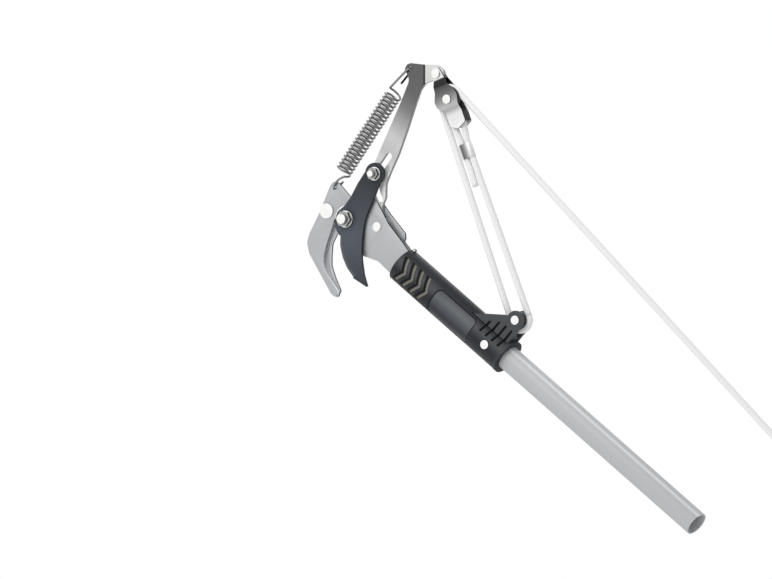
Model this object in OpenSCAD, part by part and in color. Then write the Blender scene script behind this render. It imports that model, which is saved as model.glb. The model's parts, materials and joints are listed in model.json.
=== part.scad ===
// Pruner head on a pole: a hooked plate pair, a curved blade, a long lever worked by a cord
// tackle and pulled back by a coil spring, all carried by a moulded sleeve on a round tube.
// Millimetres. Z runs up the pole towards the head, the plates lie in the XZ plane, and the
// front of the head faces -Y. The origin is the middle of the pole's lower end.

/* [Pole] */
// Outside diameter of the pole tube
pole_d = 25; // [23:0.5:27]
// Wall of the pole tube
pole_wall = 1.5; // [1:0.1:2.5]
// Length of pole below the sleeve
pole_l = 274; // [200:1:400]
// Depth that the pole enters the sleeve
pole_insert = 96; // [70:1:102]

/* [Socket sleeve] */
// Length of the sleeve
sleeve_l = 153; // [148:1:165]
// Wall of the sleeve round the pole
sleeve_wall = 5.7; // [5:0.1:7]
// Height of the lip at the lower end
lip_h = 4; // [2:0.5:8]
// Step of the lip beyond the sleeve
lip_step = 0.4; // [0.3:0.1:1.5]
// Number of chevron grooves
chevron_n = 4; // [2:1:4]
// Spacing of the chevron grooves
chevron_pitch = 10.4; // [8:0.2:11]
// Width of a chevron groove
chevron_w = 3; // [1.5:0.1:4]
// Depth of the grooves and of the bare panel
groove_d = 0.8; // [0.3:0.1:1.5]
// Length of the smooth panel
panel_l = 55; // [40:1:56]
// Thickness of the front ear beside the lower sheave
ear_t = 6.4; // [4:0.1:7]
// Thickness of the back ear
back_ear_t = 3; // [2.5:0.1:7]
// Thickness of the front ear's round end, beside the cord
ear_rim_t = 3; // [2:0.1:4]
// Radius of the ears round the lower axle
ear_r = 9.5; // [9:0.5:12]

/* [Head plates] */
// Thickness of the front and back plates
plate_t = 2.5; // [2:0.1:4]
// Depth that the plates enter the sleeve
plate_insert = 42; // [30:1:48]
// Diameter of the hole that holds the lower spring hook
anchor_hole_d = 4; // [3.4:0.1:5]

/* [Blade] */
// Thickness of the blade
blade_t = 3; // [2:0.1:4.5]
// Width of the ground bevel
bevel_w = 4; // [2:0.5:6]
// Radius of the blade's head round the link bolt
blade_head_r = 11; // [10:0.5:12]

/* [Lever] */
// Thickness of the lever
lever_t = 4; // [3:0.1:6]
// Radius of the lever's boss round its pivot
lever_boss_r = 12; // [10:0.5:14]
// Diameter of the hole that holds the upper spring hook
lever_hole_d = 4; // [3.4:0.1:5]

/* [Bolts and pins] */
// Shank diameter of the blade's pivot bolt
pivot_d = 10; // [8:0.5:12]
// Shank diameter of the link bolt
link_d = 6.4; // [5:0.2:7]
// Shank diameter of the lever's rivet
lever_rivet_d = 8; // [6:0.5:9]
// Shank diameter of the large rivet by the hook
hook_rivet_d = 6; // [4:0.5:9]
// Diameter of the large rivet's head
hook_rivet_head_d = 15; // [12:0.5:16]
// Diameter of the large washer under the blade
pivot_washer_d = 28; // [26:0.5:32]
// Thickness of every washer
washer_t = 1.2; // [1:0.1:1.6]
// Height of the nuts
nut_h = 4.5; // [4:0.5:9]
// Shank diameter of the two rivets that hold the sleeve to the pole
sleeve_rivet_d = 5; // [3:0.5:7]
// Head diameter of the small pin in the side of the sleeve
top_pin_d = 4.4; // [3:0.2:4.8]
// Diameter of the pin that joins the block to the lever
tip_pin_d = 6; // [4:0.5:8]

/* [Sheaves and block] */
// Diameter of the cord
cord_d = 6.5; // [5:0.1:7]
// Radius at which the cord runs round the lower sheave
lower_pitch_r = 10.4; // [10:0.1:11.5]
// Radius at which the cord runs round the upper sheave
upper_pitch_r = 12; // [11.5:0.1:12.5]
// Diameter of the two sheave axles
axle_d = 8; // [5:0.5:8.5]
// Thickness of the block's sheet
strap_t = 1.6; // [1:0.1:2.5]
// Diameter of the pin that the cord's eye hangs on
becket_d = 5; // [4:0.5:6]
// Length of the crimped ferrule
ferrule_l = 15; // [10:0.5:20]
// Wall of the crimped ferrule
ferrule_wall = 0.9; // [0.5:0.1:1.2]
// Length of the cord's tail below the ferrule
tail_l = 29; // [18:1:40]

/* [Return spring] */
// Diameter of the spring's wire
wire_d = 2; // [1.6:0.1:2.2]
// Mean diameter of the coil
coil_d = 15.6; // [12:0.4:17.2]
// Number of turns
coil_n = 22; // [14:1:24]

/* [Hidden] */
$fn = 64;

// Running clearances: face to face, and round a shaft
run_gap = 0.3;
shaft_gap = 0.06;
// Close clearance of a piece seated in another, and at the seam of sleeve and lugs
seat_gap = 0.1;
seam_gap = 0.03;

// Heights along the pole
head_z = pole_l + sleeve_l;
pole_r = pole_d / 2;
sleeve_r = pole_r + sleeve_wall;

// Depths through the head, from the middle outwards, negative towards the front
lever_y = lever_t / 2;
plate_in = lever_y + run_gap;
plate_out = plate_in + plate_t;
blade_back = plate_out + washer_t + shaft_gap;
blade_front = blade_back + blade_t;
link_nut_y = blade_front + washer_t;
pivot_nut_y = blade_front + shaft_gap + washer_t;
bolt_out = 4;
hook_wire_y = plate_out + run_gap + wire_d / 2;
lever_wire_y = lever_y + run_gap * 2 + wire_d / 2;

// Hinge and pin centres in the XZ plane
blade_pivot = [-1, head_z + 76];
link_pin = [55.3, head_z + 77];
lever_pivot = [13.2, head_z + 44.5];
tip_pin_c = [175.9, head_z + 84.1];
spring_hole = [161.1, head_z + 112.2];
spring_anchor = [14.1, head_z + 106.6];
hook_rivet_c = [-9.4, head_z + 100.2];
lower_axle = [20.2 + sleeve_r, pole_l + 11.1];
top_pin_z = head_z - 2.6;
top_pin_r = top_pin_d * 0.34;
top_pin_l = 9;
top_pin_head = 2.2;
sleeve_rivet_z = pole_l + 21;
sleeve_rivet_head_r = sleeve_rivet_d / 2 + 2.1;
rivet_seat = 0.5;
lug_z = pole_l + lip_h + 0.4;

// Arc of the lever's slot, which the link bolt follows as blade and lever turn
slot_c = [62, head_z + 50];
slot_arc_r = norm(link_pin - slot_c);
slot_r = link_d / 2 + 0.35;
slot_end_a = atan2(head_z + 59.8 - slot_c.y, 35.4 - slot_c.x);
slot_top = [76.5, slot_c.y + slot_arc_r];

// The block's own frame: x runs from the tip pin towards the lower axle, y is across it
block_dir = lower_axle - tip_pin_c;
block_a = atan2(block_dir.y, block_dir.x);
upper_axle_l = [29, 4];
becket_l = [53.6, 5];
ferrule_s = 77;
ferrule_t = 3.9;
function cord_at(s, t) = tip_pin_c + s * [cos(block_a), sin(block_a)] + t * [-sin(block_a), cos(block_a)];
upper_axle = cord_at(upper_axle_l.x, upper_axle_l.y);
cord_r = cord_d / 2;
groove_r = cord_r + 0.25;
sheave_w = cord_d + 2.5;
sheave_y = sheave_w / 2;
cheek_in = sheave_y + 0.5;
cheek_out = cheek_in + strap_t;
tab_in = lever_y + run_gap;
tab_out = tab_in + strap_t;
ear_in = sheave_y + 0.5;
ear_out = ear_in + ear_t;
back_ear_out = ear_in + back_ear_t;
ear_boss_r = 6;
cord_clear_r = lower_pitch_r + cord_r + 0.8;
ear_neck_a = 97;
strand = cord_r + seat_gap;
// Play between two lengths of the one cord
end_gap = 0.5;
eye_r = becket_d / 2 + cord_r + seat_gap;

// Free end of the cord, just past what is seen
pull_end = [122, -34];
knot_l = 12;

// Wire path of the spring along the line from the anchor to the lever's hole
spring_dir = spring_hole - spring_anchor;
spring_a = atan2(spring_dir.y, spring_dir.x);
spring_len = norm(spring_dir);
coil_from = 21;
coil_to = spring_len - 33;
coil_y = -1.8;
hook_tail = 18;

// Small vector helpers
function unit(v) = v / norm(v);
function clamp1(x) = max(-0.99999, min(0.99999, x));
function smooth(x) = let (c = max(0, min(1, x))) c * c * (3 - 2 * c);
function turn_to(a, b) = let (d = b - a) d > 180 ? d - 360 : (d < -180 ? d + 360 : d);
function heading(v) = atan2(v.y, v.x);
function polar(c, r, a) = c + r * [cos(a), sin(a)];
function arc(c, r, a0, a1, n) = [for (i = [0:n]) polar(c, r, a0 + (a1 - a0) * i / n)];
function line(p, q, n) = [for (i = [0:n]) p + (q - p) * i / n];
function xz(pts) = [for (p = pts) [p.x, 0, p.y]];

// One rounded corner b between a and c, as points on its arc
function corner(a, b, c, r, n) =
    let (u = unit(a - b), v = unit(c - b))
    let (half = acos(clamp1(u * v)) / 2)
    let (d = min(r / tan(half), 0.45 * norm(a - b), 0.45 * norm(c - b)))
    let (rr = d * tan(half), m = b + unit(u + v) * rr / sin(half))
    let (a0 = heading(b + u * d - m), da = turn_to(a0, heading(b + v * d - m)))
    r <= 0 || half > 88 ? [b] : [for (i = [0:n]) polar(m, rr, a0 + da * i / n)];

// Outline from points [x, y, corner radius]
function outline(pts, n = 5) = [for (i = [0:len(pts) - 1])
    let (a = pts[(i + len(pts) - 1) % len(pts)], b = pts[i], c = pts[(i + 1) % len(pts)])
    each corner([a.x, a.y], [b.x, b.y], [c.x, c.y], b[2], n)];

// Raises head outlines from the sleeve's top to their place
function lift(pts) = [for (p = pts) [p.x, p.y + head_z, p[2]]];

// Extrudes an XZ outline from depth y0 to y1
module slab(y0, y1) {
    translate([0, y1, 0]) rotate([90, 0, 0]) linear_extrude(height = y1 - y0) children();
}

// Round bar along Y at XZ centre c
module pin(c, r, y0, y1) {
    translate([c.x, y1, c.y]) rotate([90, 0, 0]) cylinder(h = y1 - y0, r = r);
}

// Six-sided bar along Y at XZ centre c
module hex(c, flats, y0, y1) {
    translate([c.x, y1, c.y]) rotate([90, 0, 0]) cylinder(h = y1 - y0, r = flats / sqrt(3), $fn = 6);
}

// Tube swept along 3D points, its rings carried along without twist
function tangent(p, i) = unit(p[min(i + 1, len(p) - 1)] - p[max(i - 1, 0)]);
function carried(p, n0) = [for (i = 0, n = n0; i < len(p); i = i + 1,
    n = i < len(p) ? unit(n - tangent(p, i) * (n * tangent(p, i))) : n) n];
module tube(p, r, sides, n0) {
    normals = carried(p, n0);
    rings = [for (i = [0:len(p) - 1]) let (t = tangent(p, i), n = unit(normals[i] - t * (normals[i] * t)))
        let (b = cross(t, n)) for (k = [0:sides - 1]) let (a = 360 * k / sides)
            p[i] + r * (cos(a) * n + sin(a) * b)];
    last = (len(p) - 1) * sides;
    skin = [for (i = [0:len(p) - 2], k = [0:sides - 1])
        let (a = i * sides + k, b = i * sides + (k + 1) % sides)
        each [[a, a + sides, b], [b, a + sides, b + sides]]];
    ends = [for (k = [1:sides - 2]) each [[0, k, k + 1], [last, last + k + 1, last + k]]];
    polyhedron(points = rings, faces = concat(skin, ends), convexity = 10);
}

// Tangent points of the cord on the two sheaves
axle_gap = norm(lower_axle - upper_axle);
axle_a = heading(lower_axle - upper_axle);
haul_m = axle_a - acos((upper_pitch_r - lower_pitch_r) / axle_gap);
haul_top = polar(upper_axle, upper_pitch_r, haul_m);
haul_bottom = polar(lower_axle, lower_pitch_r, haul_m);
stand_top = cord_at(ferrule_s + ferrule_l / 2, ferrule_t + strand);
stand_m = heading(stand_top - lower_axle) - acos(lower_pitch_r / norm(stand_top - lower_axle));
stand_bottom = polar(lower_axle, lower_pitch_r, stand_m);
pull_m = heading(pull_end - upper_axle) + acos(upper_pitch_r / norm(pull_end - upper_axle)) - 360;
pull_top = polar(upper_axle, upper_pitch_r, pull_m);
pull_a = heading(pull_end - pull_top);

// Sides of the tongue by which each plate sits in the sleeve
tongue = [-14.5, 15.5];

// Outlines, [x, z above the sleeve's top, corner radius]
front_outline = [
    [12.6, 112.4, 3], [18.4, 112, 3], [21.4, 107, 3], [18.4, 87, 8], [24, 72, 10], [33.6, 61.8, 3],
    [29, 49.4, 20], [23.5, 36, 20], [18.7, 12.2, 20], [tongue[1], 0.2, 4], [tongue[1], 4 - plate_insert, 1],
    [12, -plate_insert, 1], [-11, -plate_insert, 1], [tongue[0], 4 - plate_insert, 1], [tongue[0], 2.6, 6],
    [-13.3, 22.4, 14], [-19.5, 39.4, 5], [-14.4, 62, 20], [-14, 76, 8], [-10, 84.6, 3], [-8.4, 88.2, 1.2],
    [-18.1, 86.3, 10], [-33.5, 82.3, 10], [-46.3, 77.4, 12], [-53, 73, 10], [-57.8, 66.6, 10],
    [-61.5, 55, 20], [-65.5, 40.6, 2.6], [-70, 39.6, 2], [-72.2, 46, 3], [-63.3, 69.5, 30], [-55.6, 90.2, 12],
    [-48.1, 99.4, 10],
    [-39.6, 102.4, 10], [-14.7, 106, 20]
];
back_outline = [
    [6, 108, 4], [13, 104, 4], [15, 88, 8], [23, 72, 10], [34, 58, 3], [30.2, 44, 20], [25.4, 18, 4],
    [21, 14, 2.5], [18.2, 14, 2], [tongue[1], 0.2, 4], [tongue[1], 4 - plate_insert, 1],
    [12, -plate_insert, 1],
    [-11, -plate_insert, 1], [tongue[0], 4 - plate_insert, 1], [tongue[0], 2.6, 6], [-13.3, 22.4, 14],
    [-19.5, 39.4, 5], [-14.4, 62, 20], [-14, 74, 8], [-20, 80, 4], [-33.5, 78.2, 8], [-43, 72.4, 10],
    [-51.8, 65.8, 10], [-58.5, 55.5, 20], [-65.4, 42, 2.6], [-73.4, 40.4, 3], [-75, 47.4, 3], [-63.2, 70, 30],
    [-54.6, 89.6, 12], [-47.6, 98.2, 10], [-39, 101.2, 10], [-14.7, 104.4, 20]
];
blade_outline = [
    [49.4, 86.9, 3], [36, 86.6, 30], [20, 84.8, 20], [8.4, 85.1, 10], [-0.7, 88, 6], [-9.5, 85.2, 4],
    [-14.4, 81, 3], [-17, 76.5, 2], [-18, 72.2, 1.5], [-27, 66, 20], [-34.7, 56.3, 30], [-39.8, 46.2, 30],
    [-42.8, 33.8, 1.5], [-40.4, 15.6, 0.6], [-39.2, 15.8, 0], [-32.9, 25.1, 30], [-23.1, 35.5, 40],
    [-13.5, 43.4, 40], [-3.1, 50.2, 40], [8.7, 56.7, 40], [21.4, 60.5, 40], [37.9, 63.5, 40],
    [50, 66.6, 8], [60, 70, 4], [62, 80, 4], [57, 86, 4]
];
edge_points = [[-19, 72.4], [-27, 66], [-34.7, 56.3], [-39.8, 46.2], [-42.7, 34]];
lever_outline = [
    [157, 116.2, 1], [162.1, 117.1, 4], [166, 114.4, 4], [174.6, 100.6, 20], [183.4, 88.3, 6],
    [183, 79, 4], [178.4, 76.4, 4], [166.9, 84.2, 12], [159.4, 88.9, 6], [151.3, 89.1, 8], [138.2, 85.6, 30],
    [109.9, 77, 60], [83.8, 69.9, 60], [67.2, 67.1, 40], [52.8, 63.9, 20], [46.4, 59.4, 5], [41.5, 55.6, 4],
    [31.9, 53.6, 8], [24, 45, 8], [13.2, 32.8, 8], [2, 44, 8], [8, 55, 10], [24, 68, 12], [33, 79.4, 10],
    [45, 86.6, 10], [62.9, 87.4, 30], [83.5, 91.1, 60], [103, 94.9, 60], [129.6, 100, 60], [151.9, 105.4, 8]
];
strap_outline = [
    [-7, -3, 3], [-6, 4.5, 4], [6.1, 7.4, 8], [14, 9.4, 8], [21.4, 14.8, 5], [27.8, 16.6, 6], [37.1, 14.2, 8],
    [44.5, 16, 2], [57, 16, 2.5], [61, 5.4, 3], [56.5, -1.8, 3], [42.6, -2.6, 6], [37.8, -5.4, 4],
    [34.4, -9.6, 4], [27.2, -10.6, 5], [19.1, -6.8, 8], [4.7, -5.2, 6]
];

module plate_bores(y0, y1) {
    pin(blade_pivot, pivot_d / 2 + shaft_gap, y0, y1);
    pin(lever_pivot, lever_rivet_d / 2 + shaft_gap, y0, y1);
    pin(hook_rivet_c, hook_rivet_d / 2 + shaft_gap, y0, y1);
}

module pole_tube() {
    color("silver") difference() {
        cylinder(h = pole_l + pole_insert, r = pole_r);
        translate([0, 0, -1]) cylinder(h = pole_l + pole_insert + 2, r = pole_r - pole_wall);
        pin([0, sleeve_rivet_z], sleeve_rivet_d / 2 + shaft_gap, -pole_d, pole_d);
    }
}

// Cuts the front skin of the sleeve to a depth, inside an XZ outline
module skin_cut(depth) {
    intersection() {
        slab(-sleeve_r * 2, 0) children();
        translate([0, 0, pole_l]) difference() {
            cylinder(h = sleeve_l, r = sleeve_r + 2);
            translate([0, 0, -1]) cylinder(h = sleeve_l + 2, r = sleeve_r - depth);
        }
    }
}

// V outlines of the chevron grooves, their points towards the pole
module chevron_shapes() {
    half = 13.2;
    rise = 7.6;
    high = chevron_w * 1.15;
    for (i = [0:chevron_n - 1]) translate([0, head_z - 17.4 - i * chevron_pitch]) polygon([
        [0, 0], [half, rise], [half, rise + high], [0, high], [-half, rise + high], [-half, rise]]);
}

// Outline of the smooth panel
module panel_shape() {
    z0 = pole_l + 43;
    polygon(outline([[-sleeve_r * 0.93, z0, 4], [12, z0, 5], [12, z0 + panel_l, 5],
        [-sleeve_r * 0.93, z0 + panel_l, 4]]));
}

// Outlines of the slanted marks that run from the sleeve on to the front lug
mark_lengths = [12.5, 18, 20.5, 20.5];
module mark_shapes() {
    for (i = [0:len(mark_lengths) - 1]) translate([7.2, pole_l + 34.6 - i * 8.4]) rotate(-6)
        translate([0, -1]) square([mark_lengths[i], 2]);
}

// Side view of one ear: a gusset from the sleeve to a round end at the lower axle
module ear_shape() {
    top = [sleeve_r + 0.4, pole_l + 47.5];
    low = [sleeve_r - 6, lug_z];
    low_m = heading(low - lower_axle) + acos(ear_r / norm(low - lower_axle));
    polygon([[sleeve_r - 6, pole_l + 57], top, polar(lower_axle, ear_r, ear_neck_a), lower_axle,
        polar(lower_axle, ear_r, low_m), low]);
    translate(lower_axle) circle(r = ear_r);
}

// Solid web between the ears, kept clear of the sheave and of the cord
module ear_web() {
    difference() {
        slab(-ear_in - 0.5, ear_in + 0.5) polygon([[sleeve_r - 4, pole_l + 54],
            [sleeve_r + 0.4, pole_l + 47.5], [sleeve_r + 5.6, pole_l + 39], [sleeve_r + 4, pole_l + 26],
            [sleeve_r + 4, lug_z], [sleeve_r - 4, lug_z]]);
        pin(lower_axle, cord_clear_r, -ear_in - 1, ear_in + 1);
    }
}

module socket_sleeve() {
    color("darkslategray") difference() {
        union() {
            translate([0, 0, pole_l]) cylinder(h = sleeve_l, r = sleeve_r);
            translate([0, 0, pole_l]) cylinder(h = lip_h, r = sleeve_r + lip_step);
        }
        translate([0, 0, pole_l - 1]) cylinder(h = pole_insert + 1 + seat_gap, r = pole_r + seat_gap / 2);
        for (y = [-plate_out, plate_in])
            translate([tongue[0] - seat_gap, y - seat_gap, head_z - plate_insert - seat_gap])
                cube([tongue[1] - tongue[0] + 2 * seat_gap, plate_t + 2 * seat_gap, plate_insert + 10]);
        skin_cut(groove_d) chevron_shapes();
        skin_cut(groove_d * 0.6) panel_shape();
        skin_cut(groove_d) mark_shapes();
        pin([0, sleeve_rivet_z], sleeve_rivet_d / 2 + shaft_gap, -sleeve_r - 5, sleeve_r + 5);
        for (side = [0, 1]) mirror([0, side, 0])
            pin([0, sleeve_rivet_z], sleeve_rivet_head_r + seat_gap, sleeve_r - rivet_seat, sleeve_r + 5);
        translate([sleeve_r - top_pin_l - seat_gap, 0, top_pin_z]) rotate([0, 90, 0])
            cylinder(h = top_pin_l * 2, r = top_pin_r + shaft_gap);
    }
}

// The two ears of the lower sheave and the web between them, moulded on to the sleeve
module sleeve_lugs() {
    color("darkslategray") difference() {
        union() {
            slab(-ear_out, -ear_in) ear_shape();
            slab(ear_in, back_ear_out) ear_shape();
            ear_web();
        }
        translate([0, 0, pole_l - 1]) cylinder(h = sleeve_l, r = sleeve_r + seam_gap);
        slab(-ear_out - 1, -ear_out + groove_d) mark_shapes();
        pin(lower_axle, axle_d / 2 + shaft_gap, -ear_out - 1, back_ear_out + 1);
        difference() {
            pin(lower_axle, cord_clear_r, -ear_out + ear_rim_t, -ear_in + 1);
            pin(lower_axle, ear_boss_r, -ear_out, -ear_in + 2);
        }
    }
}

module hook_plate_front() {
    color("silver") difference() {
        slab(-plate_out, -plate_in) polygon(outline(lift(front_outline)));
        plate_bores(-plate_out - 1, -plate_in + 1);
        pin(spring_anchor, anchor_hole_d / 2, -plate_out - 1, -plate_in + 1);
    }
}

module hook_plate_back() {
    color("gray") difference() {
        slab(plate_in, plate_out) polygon(outline(lift(back_outline)));
        plate_bores(plate_in - 1, plate_out + 1);
    }
}

// Large rivet with a collar that keeps the plates apart
module hook_rivet() {
    color("gainsboro") union() {
        pin(hook_rivet_c, hook_rivet_d / 2, -plate_out - 1, plate_out + 1);
        pin(hook_rivet_c, hook_rivet_d / 2 + 3, -plate_in, plate_in);
        pin(hook_rivet_c, hook_rivet_head_d / 2, -plate_out - washer_t * 0.8, -plate_out);
        pin(hook_rivet_c, hook_rivet_head_d / 2, plate_out, plate_out + 1.6);
    }
}

module lever_rivet() {
    color("gainsboro") union() {
        pin(lever_pivot, lever_rivet_d / 2, -plate_out - 0.5, plate_out + 1);
        pin(lever_pivot, lever_rivet_d / 2 + 0.9, -plate_out - washer_t * 0.4, -plate_out);
        pin(lever_pivot, lever_rivet_d / 2 + 0.2, -plate_out - washer_t * 0.8, -plate_out);
        pin(lever_pivot, lever_rivet_d / 2 + 2, plate_out, plate_out + 1.8);
    }
}

module pivot_bolt() {
    color("gainsboro") union() {
        pin(blade_pivot, pivot_d / 2, -pivot_nut_y - nut_h - bolt_out, plate_out + 1);
        hex(blade_pivot, pivot_d * 1.6, plate_out, plate_out + 5.5);
    }
}

module pivot_nut() {
    color("gainsboro") difference() {
        hex(blade_pivot, pivot_d * 1.45, -pivot_nut_y - nut_h, -pivot_nut_y);
        pin(blade_pivot, pivot_d / 2, -pivot_nut_y - nut_h - 1, -pivot_nut_y + 1);
    }
}

module washer(c, d, bore, y0) {
    difference() {
        pin(c, d / 2, y0, y0 + washer_t);
        pin(c, bore / 2, y0 - 1, y0 + washer_t + 1);
    }
}

module pivot_nut_washer() {
    color("gainsboro") washer(blade_pivot, pivot_d * 1.7, pivot_d + 2 * shaft_gap, -pivot_nut_y);
}

module pivot_washer() {
    color("gray") washer(blade_pivot, pivot_washer_d, pivot_d + 2 * shaft_gap, -plate_out - washer_t);
}

// Spacer tube on the pivot bolt between the plates
module pivot_spacer() {
    color("gray") difference() {
        pin(blade_pivot, pivot_d / 2 + 3, -plate_in, plate_in);
        pin(blade_pivot, pivot_d / 2 + shaft_gap, -plate_in - 1, plate_in + 1);
    }
}

// Two short rivets, front and back, that stop at the pole's bore
module sleeve_rivets() {
    color("gainsboro") for (side = [0, 1]) mirror([0, side, 0]) union() {
        pin([0, sleeve_rivet_z], sleeve_rivet_d / 2, pole_r - pole_wall + shaft_gap, sleeve_r + 0.4);
        pin([0, sleeve_rivet_z], sleeve_rivet_head_r, sleeve_r - rivet_seat, sleeve_r + 1);
    }
}

module sleeve_top_pin() {
    color("gainsboro") translate([sleeve_r, 0, top_pin_z]) rotate([0, 90, 0]) union() {
        translate([0, 0, -top_pin_l]) cylinder(h = top_pin_l + 0.5, r = top_pin_r);
        cylinder(h = top_pin_head, r = top_pin_d / 2);
        translate([0, 0, top_pin_head]) cylinder(h = 0.8, r1 = top_pin_d / 2, r2 = top_pin_d / 4);
    }
}

module lower_sheave_axle() {
    color("gainsboro") union() {
        pin(lower_axle, axle_d / 2, -ear_out - 0.8, back_ear_out + 0.8);
        pin(lower_axle, axle_d / 2 + 0.6, -ear_out - 0.8, -ear_out);
        pin(lower_axle, axle_d / 2 + 0.6, back_ear_out, back_ear_out + 0.8);
    }
}

// Grooved wheel on centre c
module sheave(c, pitch, rim) {
    translate([c.x, 0, c.y]) rotate([90, 0, 0]) rotate_extrude($fn = 96) difference() {
        translate([axle_d / 2 + shaft_gap, -sheave_y])
            square([rim - axle_d / 2 - shaft_gap, sheave_w]);
        translate([pitch, 0]) circle(r = groove_r, $fn = 48);
        translate([pitch, -groove_r]) square([4, groove_r * 2]);
    }
}

module lower_sheave() {
    color("dimgray") sheave(lower_axle, lower_pitch_r, lower_pitch_r - 1.9);
}

module blade() {
    color("darkslategray") difference() {
        union() {
            slab(-blade_front, -blade_back) polygon(outline(lift(blade_outline)));
            pin(link_pin, blade_head_r, -blade_front, -blade_back);
        }
        pin(blade_pivot, pivot_d / 2 + shaft_gap, -blade_front - 1, -blade_back + 1);
        pin(link_pin, link_d / 2 + shaft_gap, -blade_front - 1, -blade_back + 1);
        for (i = [0:len(edge_points) - 2]) edge_cut(edge_points[i], edge_points[i + 1]);
    }
}

// Wedge that grinds the front of the blade down to its edge between p and q
module edge_cut(p, q) {
    translate([p.x, 0, head_z + p.y]) rotate([0, -heading(q - p), 0]) rotate([90, 0, 90])
        linear_extrude(height = norm(q - p) + 0.2)
            polygon([[-blade_front - 1, -3], [-blade_front - 1, bevel_w * 1.4], [-blade_back - 0.3, 0],
                [-blade_back - 0.3, -3]]);
}

module link_bolt() {
    color("gainsboro") union() {
        pin(link_pin, link_d / 2, -link_nut_y - nut_h - bolt_out, plate_in + washer_t);
        hex(link_pin, link_d * 1.75, plate_in + washer_t, plate_in + washer_t + 4);
    }
}

module link_nut() {
    color("gainsboro") difference() {
        hex(link_pin, link_d * 1.75, -link_nut_y - nut_h, -link_nut_y);
        pin(link_pin, link_d / 2, -link_nut_y - nut_h - 1, -link_nut_y + 1);
    }
}

module link_nut_washer() {
    color("gainsboro") washer(link_pin, link_d * 2.15, link_d + 2 * shaft_gap, -link_nut_y);
}

module link_back_washer() {
    color("gainsboro") washer(link_pin, link_d * 2.15, link_d + 2 * shaft_gap, plate_in);
}

// Collar on the link bolt between the blade and the lever
module link_collar() {
    color("gray") difference() {
        pin(link_pin, link_d / 2 + 3.6, -blade_back, -plate_in);
        pin(link_pin, link_d / 2 + shaft_gap, -blade_back - 1, -plate_in + 1);
    }
}

// Slot along the path of the link bolt: an arc, then a straight run towards the tip
module lever_slot() {
    low = polar(slot_c, slot_arc_r, slot_end_a);
    slab(-lever_y - 1, lever_y + 1) polygon(concat(
        arc(slot_c, slot_arc_r + slot_r, slot_end_a, 90, 24),
        arc(slot_top, slot_r, 90, -90, 24),
        arc(slot_c, slot_arc_r - slot_r, 90, slot_end_a, 20),
        [for (i = [1:23]) polar(low, slot_r, slot_end_a + 180 - 180 * i / 24)]));
}

module lever_arm() {
    color("lightgray") difference() {
        union() {
            slab(-lever_y, lever_y) polygon(outline(lift(lever_outline)));
            pin(lever_pivot, lever_boss_r, -lever_y, lever_y);
        }
        pin(lever_pivot, lever_rivet_d / 2 + shaft_gap, -lever_y - 1, lever_y + 1);
        pin(tip_pin_c, tip_pin_d / 2 + shaft_gap, -lever_y - 1, lever_y + 1);
        pin(spring_hole, lever_hole_d / 2, -lever_y - 1, lever_y + 1);
        lever_slot();
    }
}

// Places children drawn in the block's own frame
module at_block() {
    translate([tip_pin_c.x, 0, tip_pin_c.y]) rotate([0, -block_a, 0]) children();
}

// Front cheek's bends seen from the side: tab beside the lever, joggle, wide cheek
module cheek(side) {
    intersection() {
        slab(-cheek_out - 1, cheek_out + 1) polygon(outline(strap_outline));
        translate([0, 0, -20]) linear_extrude(height = 45) polygon([
            [-10, side * tab_in], [8, side * tab_in], [13, side * cheek_in], [66, side * cheek_in],
            [66, side * cheek_out], [12.3, side * cheek_out], [7.3, side * tab_out], [-10, side * tab_out]]);
    }
}

module block_strap() {
    color("lightgray") at_block() difference() {
        union() {
            cheek(-1);
            cheek(1);
            translate([46, -cheek_in - 0.2, 16 - strap_t]) cube([10, cheek_in * 2 + 0.4, strap_t]);
        }
        pin([0, 0], tip_pin_d / 2 + shaft_gap, -cheek_out - 2, cheek_out + 2);
        pin(upper_axle_l, axle_d / 2 + shaft_gap, -cheek_out - 2, cheek_out + 2);
        pin(becket_l, becket_d / 2 + shaft_gap, -cheek_out - 2, cheek_out + 2);
    }
}

module tip_pin() {
    color("gainsboro") union() {
        pin(tip_pin_c, tip_pin_d / 2, -tab_out - 0.8, tab_out + 0.8);
        pin(tip_pin_c, tip_pin_d / 2 + 1.5, -tab_out - 1.4, -tab_out);
        pin(tip_pin_c, tip_pin_d / 2 + 1.5, tab_out, tab_out + 1.4);
    }
}

module upper_sheave_axle() {
    color("gainsboro") union() {
        pin(upper_axle, axle_d / 2, -cheek_out - 0.8, cheek_out + 0.8);
        pin(upper_axle, axle_d / 2 + 0.6, -cheek_out - 1, -cheek_out);
        pin(upper_axle, axle_d / 2 + 0.6, cheek_out, cheek_out + 1);
    }
}

module upper_sheave() {
    color("dimgray") sheave(upper_axle, upper_pitch_r, upper_pitch_r + 1.5);
}

// Pin of the cord's eye: riveted flush, with a shoulder inside each cheek
module becket_pin() {
    color("gainsboro") at_block() union() {
        pin(becket_l, becket_d / 2, -cheek_out, cheek_out);
        pin(becket_l, becket_d / 2 + 1, cheek_in - 0.4, cheek_in);
        pin(becket_l, becket_d / 2 + 1, -cheek_in, 0.4 - cheek_in);
    }
}

// Eye of the cord over its pin, and the short tail below the ferrule
module cord_eye() {
    mid = ferrule_s + ferrule_l / 2;
    right = ferrule_t + strand;
    left = ferrule_t - strand;
    color("whitesmoke") at_block() tube(xz(concat(
        [[ferrule_s + ferrule_l, right], [mid, right], [ferrule_s, right], [ferrule_s - 5, right + 0.3]],
        arc(becket_l, eye_r, 80, 280, 14),
        [[ferrule_s - 5, left - 0.3], [ferrule_s, left], [mid, left], [ferrule_s + ferrule_l, left],
        [ferrule_s + ferrule_l + 14, left], [ferrule_s + ferrule_l + tail_l, left - 0.6]])),
        cord_r, 12, [0, 1, 0]);
}

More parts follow.
